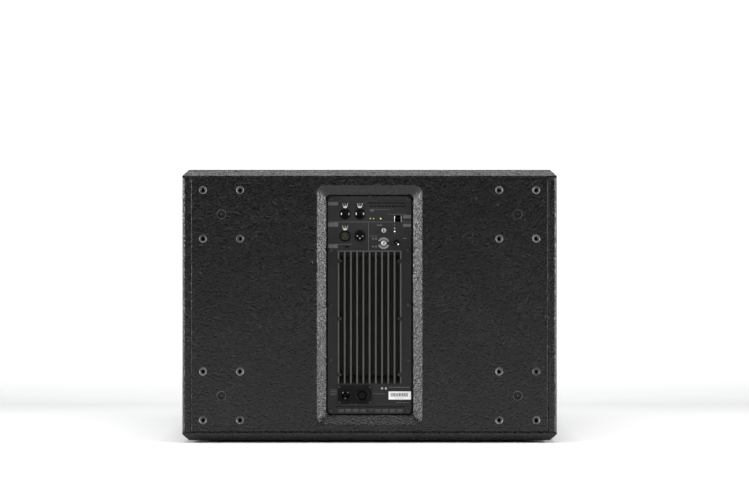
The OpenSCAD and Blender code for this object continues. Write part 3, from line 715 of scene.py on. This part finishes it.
def latch(name, cad_node, body, width):
    """A sprung release tab: a three-pronged plate on a stem, with a near-black flange behind the face
    plate, painted shade seen through the gaps between the prongs
    """
    lo, hi = corners(cad_node)
    at = ((lo.x + hi.x) / 2, (lo.z + hi.z) / 2 - 0.5)
    grow = width / 12.8
    front = lo.y
    bm = bmesh.new()
    outer = [(x * grow, z) for x, z in CROWN]
    inner = [(x * grow * 0.92, z * 0.92) for x, z in CROWN]
    stack(bm, at, [(inner, front), (outer, front + 0.2), (outer, front + 0.6)])
    pad(bm, (at[0], at[1] - 2.2), 6.4, 2.2, 0.6, front + 0.5, hi.y - 2, 0.2)
    piece(name, bm, "latch_metal", (cad_node,), body)
    # painted shade: a near-black flange behind the prongs
    flange = bmesh.new()
    pad(flange, at, 11, 8, 1.0, hi.y - 2, hi.y, 0.2)
    piece(name + "_flange", flange, "dark_cavity", (), body)


def xlr_input():
    """A female audio socket: rim, groove and an olive insert with three holes"""
    place = mount("xlr_input")
    at = (place.x, place.z)
    y = PLATE_Y
    bm = bmesh.new()
    turned(bm, at, [
        (12.6, y + 30), (12.6, y - 0.6), (12.2, y - 1), (11.0, y - 1), (10.6, y - 0.5), (10.6, y + 11),
    ], 48)
    pad(bm, (at[0], at[1] - 1.7), 26, 27.6, 3, y + 3.2, y + 5, 0.3)
    piece("xlr_input_shell", bm, "connector_plastic", ("xlr_input_socket",))
    insert = bmesh.new()
    holes = [(-4.9, 1.4, circle(1.5, 16)), (4.9, 1.4, circle(1.5, 16)), (0, -4.6, circle(1.5, 16))]
    holes.append((0, 6.6, rounded(3.0, 1.2, 0.4, 3)))
    pierced(insert, at, circle(8.7, 48), holes, y + 0.6, y + 11.2, 7)
    piece("xlr_input_insert", insert, "olive_insert")


def xlr_link():
    """A male audio socket: keyed cup with three round-nosed pins"""
    place = mount("xlr_link")
    at = (place.x, place.z)
    y = PLATE_Y
    bm = bmesh.new()
    stack(bm, at, [
        (circle(12.6), y + 30), (circle(12.6), y - 0.6), (circle(12.2), y - 1), (keyed(10.2, 1.1), y - 1),
        (keyed(9.8, 1.1), y - 0.5), (keyed(9.8, 1.1), y + 13),
    ])
    pad(bm, (at[0], at[1] - 1.7), 26, 27.6, 3, y + 3.2, y + 5, 0.3)
    piece("xlr_link_shell", bm, "connector_plastic", ("xlr_link_socket",))
    pins = bmesh.new()
    for x, z in ((-5.8, 0.0), (5.8, 0.0), (0.0, -5.2)):
        spot = (at[0] + x, at[1] + z)
        turned(pins, spot, [(1.5, y + 14), (1.5, y + 1.8), (1.25, y + 1.1), (0.5, y + 0.7)], 20)
    piece("xlr_link_pins_turned", pins, "latch_metal", ("xlr_link_pins",))


def power_inlet():
    """The locking mains inlet: cup with a key rib and three contacts"""
    place = mount("power_inlet")
    at = (place.x, place.z)
    y = PLATE_Y
    bm = bmesh.new()
    turned(bm, at, [
        (12.0, y + 29), (12.0, y - 2.0), (11.5, y - 2.5), (10.2, y - 2.5), (9.8, y - 2.0), (9.8, y + 14),
    ], 48)
    turned(bm, at, [(3.2, y + 14.2), (3.2, y + 0.8), (2.8, y + 0.4), (1.2, y + 0.4), (1.2, y + 4)], 24)
    pad(bm, (at[0], at[1] + 9.2), 4.5, 1.8, 0.4, y - 1.2, y + 14, 0.3)
    piece("power_inlet_shell", bm, "connector_plastic", ("power_inlet_socket",))
    contacts = bmesh.new()
    for degrees in (45, 135, 270):
        x = at[0] + 7.2 * math.cos(math.radians(degrees))
        z = at[1] + 7.2 * math.sin(math.radians(degrees))
        blade = turned_by(rounded(1.5, 3.4, 0.6), degrees)
        tip = [(0.7 * a, 0.7 * b) for a, b in blade]
        stack(contacts, (x, z), [(blade, y + 14.2), (blade, y + 1.4), (tip, y + 0.9)])
    piece("power_inlet_blades", contacts, "latch_metal", ("power_inlet_contacts",))


def power_outlet():
    """The locking mains outlet: concentric rings round a hollow centre"""
    place = mount("power_outlet")
    at = (place.x, place.z)
    y = PLATE_Y
    bm = bmesh.new()
    turned(bm, at, [
        (14.4, y + 30), (14.4, y - 3.5), (13.9, y - 4), (12.1, y - 4), (11.6, y - 3.5), (11.6, y + 11),
        (10.6, y + 11), (10.6, y - 2.6), (10.3, y - 3), (9.9, y - 3), (9.6, y - 2.6), (9.6, y + 11),
        (7.3, y + 11), (7.3, y - 2.2), (6.9, y - 2.6), (2.4, y - 2.6), (1.9, y - 2.2), (1.9, y + 6),
    ], 56)
    for degrees in (90, 210, 330):
        x = at[0] + 10.9 * math.cos(math.radians(degrees))
        z = at[1] + 10.9 * math.sin(math.radians(degrees))
        rib = turned_by(rounded(1.4, 3.0, 0.3), degrees)
        stack(bm, (x, z), [(rib, y - 2.8), (rib, y + 11)])
    piece("power_outlet_shell", bm, "connector_plastic", ("power_outlet_socket",))


def usb_socket():
    """The service socket: a near-black moulding, painted shade for the socket's shadowed inside, bright
    folded shell sides, a tongue with four contacts
    """
    place = mount("usb")
    at = (place.x, place.z)
    y = PLATE_Y
    lo, hi = corners("usb_socket")
    bm = bmesh.new()
    mouth = rounded(11.6, 12.2, 1.0, 5)
    # painted shade: the moulding is near-black
    stack(bm, at, [
        (rounded(13.6, 14.2, 1.2, 5), hi.y), (rounded(13.6, 14.2, 1.2, 5), y - 0.5),
        (rounded(13.2, 13.8, 1.0, 5), y - 0.7), (mouth, y - 0.7), (mouth, y + 13),
    ])
    piece("usb_moulding", bm, "dark_cavity", ("usb_socket",))
    tongue = bmesh.new()
    pad(tongue, at, 8, 3.4, 0.4, y + 4, y + 13.2, 0.3)
    piece("usb_tongue", tongue, "connector_plastic")
    sides = bmesh.new()
    for sx in (-1, 1):
        pad(sides, (at[0] + sx * 7.1, at[1]), 0.8, 13.8, 0.3, lo.y - 0.1, y + 6, 0.2)
    piece("usb_shell_sides", sides, "latch_metal")
    contacts = bmesh.new()
    for step in (-3, -1, 1, 3):
        pad(contacts, (at[0] + step * 1.0, at[1] + 1.9), 1.0, 0.4, 0.1, y + 4.4, y + 12, 0.1)
    piece("usb_contacts", contacts, "contact_brass")


# Controls

def gain_knob():
    """A turned knob with fine flutes, a dished face and a dark pointer"""
    spot = middle("gain_knob")
    at = (spot.x, spot.z)
    front = corners("gain_knob")[0].y
    bm = bmesh.new()
    grip = fluted(5.8, 0.28, 30)
    smooth = circle(5.4, 60)
    stack(bm, at, [
        (circle(3.0, 60), PLATE_Y + 11), (circle(3.0, 60), PLATE_Y - 0.7), (circle(5.5, 60), PLATE_Y - 0.7),
        (grip, PLATE_Y - 1.2), (grip, front + 1.2), (smooth, front + 0.5), (circle(4.9, 60), front),
        (circle(4.3, 60), front), (circle(3.9, 60), front + 0.5), (circle(0.2, 60), front + 0.6),
    ])
    piece("gain_knob_turned", bm, "knob_metal", ("gain_knob",), "gain_knob")
    mark = bmesh.new()
    line = turned_by(rounded(1.1, 4.6, 0.5), -35)
    stack(mark, (at[0] + 0.9, at[1] + 1.2), [(line, front + 0.3), (line, front + 0.8)])
    piece("gain_pointer", mark, "dark_ink", (), "gain_knob")


def preset_knob():
    """A low knob with an oval screwdriver slot"""
    spot = middle("preset_knob")
    at = (spot.x, spot.z)
    front = corners("preset_knob")[0].y
    bm = bmesh.new()
    slot = rounded(2.4, 6.4, 1.1, 5)
    pierced(bm, at, circle(4.7, 48), [(0, 0, slot)], front, PLATE_Y - 0.75, 2.6)
    rim = fluted(5.1, 0.15, 24)
    stack(bm, at, [
        (circle(4.7, 48), front + 0.05), (rim, front + 0.45), (rim, PLATE_Y - 0.7),
        (circle(4.6, 48), PLATE_Y - 0.7),
    ], closed=True)
    turned(bm, at, [(3, PLATE_Y - 0.72), (3, PLATE_Y + 11)], 24)
    piece("preset_knob_turned", bm, "knob_metal", ("preset_knob",), "preset_knob")
    # painted shade: a near-black floor in the screwdriver slot
    dark = bmesh.new()
    inner = rounded(2.3, 6.3, 1.05, 5)
    stack(dark, at, [(inner, front + 0.7), (inner, front + 2.0)])
    piece("preset_slot_floor", dark, "dark_cavity", (), "preset_knob")


def toggle():
    """A threaded barrel with a hexagon nut, and a lever with a rounded end"""
    spot = joint_place("toggle_swing")
    at = (spot.x, spot.z)
    front = corners("toggle_switch_body")[0].y
    bm = bmesh.new()
    profile = [(4.1, PLATE_Y + 3)]
    turns = 5
    for k in range(turns):
        y = PLATE_Y - 0.2 - 0.7 * k
        profile += [(4.2, y), (3.9, y - 0.35)]
    profile += [(4.0, front), (3.2, front), (3.1, PLATE_Y + 4.5)]
    turned(bm, at, profile, 32)
    nut = hexagon(6.0, 24)
    bore = circle(3.9, 24)
    sleeve(bm, at, nut, bore, PLATE_Y - 1.7, PLATE_Y - 0.02)
    pad(bm, at, 9, 12, 0.6, PLATE_Y + 3, corners("toggle_switch_body")[1].y, 0.3)
    piece("toggle_barrel", bm, "connector_plastic", ("toggle_switch_body",))
    lever = bmesh.new()
    shape = [
        (1.9, 1.2), (1.9, -0.6), (1.15, -1.6), (1.1, -7.5), (1.5, -9.6), (1.72, -11.0), (1.4, -12.1),
        (0.6, -12.65),
    ]
    heading = Matrix.Rotation(math.radians(-TOGGLE_DIRECTION), 4, "Y")
    aim = heading @ Matrix.Rotation(math.radians(TOGGLE_TILT), 4, "Z")
    shift = Matrix.Translation(spot * MM) @ aim
    placed(lever, lambda part: turned(part, (0, 0), shape, 28), shift)
    piece("toggle_lever_turned", lever, "latch_metal", ("toggle_lever",), "toggle_lever")


def lights():
    """Domed light pipes: the status lights and two level lights glow, each at its own strength"""
    found = islands("indicator_lights")
    top_row = max(lo.z for lo, hi in found)
    last = max(lo.x for lo, hi in found if lo.z > top_row - 1)
    levels = sorted(lo.z for lo, hi in found if lo.z < top_row - 1)
    groups = {key: bmesh.new() for key in ("", "_half", "_white", "_dim")}
    for lo, hi in found:
        at = ((lo.x + hi.x) / 2, (lo.z + hi.z) / 2)
        if lo.z > top_row - 1:
            key = "" if lo.x == last else "_half"
        else:
            key = {levels[1]: "_white", levels[2]: "_half"}.get(lo.z, "_dim")
        turned(groups[key], at, [(1.4, hi.y), (1.4, lo.y + 0.35), (1.15, lo.y + 0.12), (0.5, lo.y)], 20)
    for key, bm in groups.items():
        piece("lights" + key, bm, "light_lens" + key, () if key else ("indicator_lights",))


# Print on the plate: raised ink, with no letters

def ink_bar(bm, x, z, width, height, y=None):
    front = (PLATE_Y if y is None else y) - 0.12
    pad(bm, (x, MID_Z + z), width, height, min(width, height) * 0.2, front, front + 0.2, 0.04)


def dial_ring(bm, at, inner, outer, y):
    """A ring of dial segments with gaps to the left and right"""
    for start in list(range(21, 160, 14)) + list(range(201, 340, 14)):
        points = []
        steps = (start, start + 4, start + 8)
        for radius, angles in ((outer, steps), (inner, steps[::-1])):
            for degrees in angles:
                a = math.radians(degrees)
                points.append((radius * math.cos(a), radius * math.sin(a)))
        stack(bm, at, [(points, y - 0.12), (points, y + 0.08)])


def panel_print():
    grey = bmesh.new()
    for x, z, width, height in (
        (-79, 219.5, 22, 7.5), (-79, 174, 22, 9), (-79, 127.5, 20, 9),
        (81, 191, 17, 7), (81, 172.5, 17, 6.5),
        (5.5, 204.5, 8, 4.4), (76, 144, 8, 2), (21.5, 172.8, 12, 2.2),
        (-45, 179.8, 84, 1.0), (44, 179.8, 92, 0.9), (-64, 131.6, 52, 1.0),
        (-2.4, 148, 0.9, 62), (8, 149.3, 20, 0.9),
        (22, 206.8, 44, 0.9), (60, 196.4, 40, 0.8),
    ):
        ink_bar(grey, x, z, width, height)
    for x, z in ((7.5, 143.5), (14, 143.5), (7.5, 126.5), (14, 126.5)):
        ink_bar(grey, x, z, 4.2, 3.6)
    for k in range(9):
        ink_bar(grey, -62 + 16 * k, -227.5, 11, 2.2)
        if k != 4:
            ink_bar(grey, -62 + 16 * k, -231.4, 12, 1.2)
    for z in (-190, -193.5, -197, -200.5):
        ink_bar(grey, -78, z + 6, 14, 1.1)
    ink_bar(grey, 20, -192.5, 26, 0.8)
    for k in range(5):
        ink_bar(grey, 46 + 9.2 * k, -178.4, 7.4, 1.6)
    for k in range(4):
        ink_bar(grey, 60 + 7.4 * k, -211.5, 5.4, 1.4)
    piece("panel_print", grey, "panel_ink")
    white = bmesh.new()
    gain = middle("gain_knob")
    dial_ring(white, (gain.x, gain.z), 8.0, 12.6, PLATE_Y)
    for x, z in ((27, -180.8), (35.3, -180.8)):
        ink_bar(white, x, z, 4.2, 4.6)
    for x, width in ((-60, 9), (-50, 14), (-41, 5), (-30, 5), (-19, 12), (-8, 10)):
        ink_bar(white, x, -214.8 + 0.06 * abs(x + 34), width * 0.7, 1.5)
    piece("panel_print_bright", white, "bright_ink")


def rating_label():
    """A paper label with rounded corners, and generic bars on it"""
    lo, hi = corners("rating_label")
    centre = (lo + hi) / 2
    at = (centre.x, centre.z)
    bm = bmesh.new()
    pad(bm, at, hi.x - lo.x, hi.z - lo.z, 1.0, lo.y, hi.y, 0.08)
    piece("rating_label_paper", bm, "label_paper", ("rating_label",))
    bars = bmesh.new()
    x = lo.x + 5
    k = 0
    while x < hi.x - 7:
        width = (0.9, 1.7, 0.6, 2.2, 1.2)[k % 5]
        pad(bars, (x + width / 2, centre.z + 1.6), width, 7.6, 0.1, lo.y - 0.06, lo.y + 0.1, 0.02)
        x += width + (0.8, 1.1, 0.7)[k % 3]
        k += 1
    for k in range(6):
        pad(bars, (lo.x + 15 + 3.4 * k, centre.z - 5.4), 2.4, 1.0, 0.1, lo.y - 0.06, lo.y + 0.1, 0.02)
    piece("rating_label_bars", bars, "dark_ink")


# Unseen sides

def grille():
    """A sheet of six-sided perforations with a plain band round it"""
    lo, hi = corners("grille")
    centre = (lo + hi) / 2
    reach_x = (hi.x - lo.x) / 2 - GRILLE_BAND
    reach_z = (hi.z - lo.z) / 2 - GRILLE_BAND
    row_pitch = GRILLE_PITCH * math.sqrt(3) / 2
    outer = GRILLE_PITCH / math.sqrt(3)
    rows = int(reach_z / row_pitch)
    bm = bmesh.new()
    corner = [(math.cos(math.radians(60 * k + 30)), math.sin(math.radians(60 * k + 30))) for k in range(6)]
    for row in range(-rows, rows + 1):
        shift = GRILLE_PITCH / 2 if row % 2 else 0
        count = int((reach_x - shift) / GRILLE_PITCH)
        for column in range(-count - (1 if shift else 0), count + 1):
            at = (centre.x + column * GRILLE_PITCH + shift, centre.z + row * row_pitch)
            rim = [(outer * x, outer * z) for x, z in corner]
            hole = [(GRILLE_HOLE * x, GRILLE_HOLE * z) for x, z in corner]
            edges = ((rim, hi.y), (hole, hi.y), (hole, lo.y), (rim, lo.y))
            rings = [ring(bm, at, outline, y) for outline, y in edges]
            for a, b in zip(rings, rings[1:]):
                bridge(bm, a, b)
    bmesh.ops.remove_doubles(bm, verts=bm.verts, dist=0.02 * MM)
    sheet = piece("grille_sheet", bm, "grille_steel", ("grille",))
    band = bmesh.new()
    width = hi.x - lo.x
    height = hi.z - lo.z
    inset = 2 * GRILLE_BAND + 14
    at = (centre.x, centre.z)
    outer_line = rounded(width, height, 3, 5)
    inner_line = rounded(width - inset, height - inset, 3, 5)
    trimmed = rounded(width - 1, height - 1, 2.5, 5)
    stack(band, at, [
        (outer_line, lo.y), (outer_line, hi.y - 0.4), (trimmed, hi.y),
        (inner_line, hi.y), (inner_line, lo.y),
    ], closed=True)
    piece("grille_band", band, "grille_steel")
    return sheet


def feet():
    """Turned rubber feet with a rounded tread and a recessed screw"""
    bm = bmesh.new()
    for lo, hi in islands("rubber_feet"):
        spot = (lo + hi) / 2
        radius = (hi.x - lo.x) / 2
        height = hi.z - lo.z
        profile = [
            (radius, -height), (radius - 0.6, -1.4), (radius - 1.6, -0.3), (radius - 2.8, 0.0), (8.2, 0.0),
            (7.6, -0.4), (7.4, -height + 1.2), (4.5, -height + 1.2), (4.2, -height + 2.4),
            (1.0, -height + 2.6),
        ]
        down = Matrix.Rotation(-math.pi / 2, 4, "X")
        shift = Matrix.Translation(Vector((spot.x, spot.y, lo.z)) * MM) @ down
        placed(bm, lambda part: turned(part, (0, 0), profile, 40), shift)
    piece("feet_turned", bm, "foot_rubber", ("rubber_feet",))


def build_details():
    screws_from("plate_screws_made", "amp_plate_screws", 3.6, 2.0, 2.0, 14)
    screws_from("heatsink_screws_made", "heatsink_screws", 3.2, 2.0, 2.0, 12)
    screws_from("connector_screws_made", "connector_screws", 2.6, 1.4, 1.5, 12)
    outward_screws()
    castor_rings()
    blanking_screws()
    heatsink_lip()
    network_socket("left")
    network_socket("right")
    latch("left_latch_tab", "left_network_latch", "left_latch", 12.0)
    latch("right_latch_tab", "right_network_latch", "right_latch", 12.0)
    latch("xlr_latch_tab", "xlr_input_latch", "xlr_latch", 12.0)
    xlr_input()
    xlr_link()
    power_inlet()
    power_outlet()
    usb_socket()
    gain_knob()
    preset_knob()
    toggle()
    lights()
    panel_print()
    rating_label()
    grille()
    feet()


# Stage, light and camera

def stage_material():
    """Pale paper that gives off some light far behind and in front; a darker strip about the cabinet is
    painted shadow, and the glow is none at the cabinet, a painted contact shadow, with a little more just
    beside it, painted light
    """
    material, tree, bsdf = new_material("paper_sweep")
    space = object_space(tree)
    cloud = noise(tree, space, 0.8, 3.0)
    fine = noise(tree, space, 60.0, 3.0)
    colour = blend_colours(tree, cloud, (0.75, 0.75, 0.75), (0.79, 0.79, 0.79))
    rough = spread(tree, fine, 0.3, 0.7, 0.85, 0.95)
    axes = node(tree, "ShaderNodeSeparateXYZ", {0: space}).outputs
    # painted shadow: the paper is coloured darker from just in front of the cabinet to about 2 m behind it
    painted_shadow_from = spread(tree, axes[1], -0.4, 0.1)
    painted_shadow_to = spread(tree, axes[1], 0.9, 2.0, 1.0, 0.0)
    painted_shadow = combine(tree, "MINIMUM", painted_shadow_from, painted_shadow_to)
    colour = blend_colours(tree, painted_shadow, colour, (0.725, 0.725, 0.725))
    finish_surface(tree, bsdf, colour, rough, bump(tree, fine, 0.1, 0.0002), gloss=0.1)
    gaps = []
    for axis, reach in ((0, cad_hi.x), (1, cad_hi.y)):
        beyond = combine(tree, "SUBTRACT", combine(tree, "ABSOLUTE", axes[axis], 0.0), reach)
        gaps.append(combine(tree, "POWER", combine(tree, "MAXIMUM", beyond, 0.0), 2.0))
    away = combine(tree, "SQRT", combine(tree, "ADD", gaps[0], gaps[1]), 0.0)
    # painted contact shadow and painted light: the glow is zero at the cabinet's footprint, brightest just
    # beside it, and weaker further out
    rise = spread(tree, away, 0.0, 0.06, 0.0, 0.15)
    fall = spread(tree, away, 0.1, 0.6, 0.0, 0.1)
    near_painted_shading = combine(tree, "SUBTRACT", rise, fall)
    far = spread(tree, axes[1], 0.9, 3.2, 0.0, 0.8)
    # painted contact shadow: in front, the glow fades to nothing at the cabinet's rear face
    front = spread(tree, axes[1], cad_lo.y - 0.01, cad_lo.y - 0.08, 0.0, 0.3)
    glow = combine(tree, "MAXIMUM", combine(tree, "ADD", near_painted_shading, far), front)
    bsdf.inputs["Emission Color"].default_value = (1, 1, 1, 1)
    tree.links.new(glow, bsdf.inputs["Emission Strength"])
    return material


def make_stage():
    """A floor that curves up into a backdrop, far behind"""
    bm = bmesh.new()
    half = 11.0
    back = 8.0
    cove = 2.0
    line = [(-7.0, 0.0), (0.0, 0.0), (back, 0.0)]
    for k in range(1, 9):
        a = math.radians(90 * k / 8)
        line.append((back + cove * math.sin(a), cove * (1 - math.cos(a))))
    line.append((back + cove, 9.0))
    sides = [[bm.verts.new((x, y, z)) for y, z in line] for x in (-half, half)]
    for k in range(len(line) - 1):
        bm.faces.new((sides[0][k], sides[1][k], sides[1][k + 1], sides[0][k + 1]))
    mesh = bpy.data.meshes.new("sweep")
    bm.to_mesh(mesh)
    bm.free()
    mesh.shade_smooth()
    mesh.materials.append(stage_material())
    sweep = bpy.data.objects.new("sweep", mesh)
    bpy.context.scene.collection.objects.link(sweep)


def softbox(name, place, aim, width, height, radiance):
    """A soft area light of a set brightness, pointing at aim"""
    data = bpy.data.lights.new(name, "AREA")
    data.shape = "RECTANGLE"
    data.size = width
    data.size_y = height
    data.energy = radiance * math.pi * width * height
    lamp = bpy.data.objects.new(name, data)
    lamp.location = place
    lamp.rotation_euler = (Vector(aim) - Vector(place)).to_track_quat("-Z", "Y").to_euler()
    lamp.visible_camera = False
    bpy.context.scene.collection.objects.link(lamp)


def make_light():
    world = bpy.data.worlds.new("studio")
    world.use_nodes = True
    background = world.node_tree.nodes["Background"]
    background.inputs[0].default_value = (0.9, 0.95, 1.0, 1)
    background.inputs[1].default_value = WORLD_STRENGTH
    bpy.context.scene.world = world
    for name, side in (("left_soft", -1), ("right_soft", 1)):
        softbox(name, (side * SIDE_LIGHT_X, SIDE_LIGHT_Y, 0.7), (0, -0.35, 0.3), 0.75, 2.0, SIDE_RADIANCE)
    softbox("top_soft", (0, -0.45, TOP_LIGHT_Z), (0, -0.4, 0), 3.4, 1.4, TOP_RADIANCE)


def make_camera():
    data = bpy.data.cameras.new("camera")
    data.sensor_width = SENSOR
    data.lens = SENSOR * CAMERA_DISTANCE / SEEN_WIDTH
    data.clip_start = 0.1
    data.clip_end = 60
    data.dof.use_dof = False
    camera = bpy.data.objects.new("camera", data)
    camera.location = (CAMERA_X, REAR_Y * MM - CAMERA_DISTANCE, CAMERA_Z)
    camera.rotation_euler = (math.radians(90), 0, 0)
    bpy.context.scene.collection.objects.link(camera)
    bpy.context.scene.camera = camera


def main():
    dress_cad_nodes()
    build_details()
    make_stage()
    make_light()
    make_camera()
    bpy.context.scene.view_settings.view_transform = "Standard"


main()
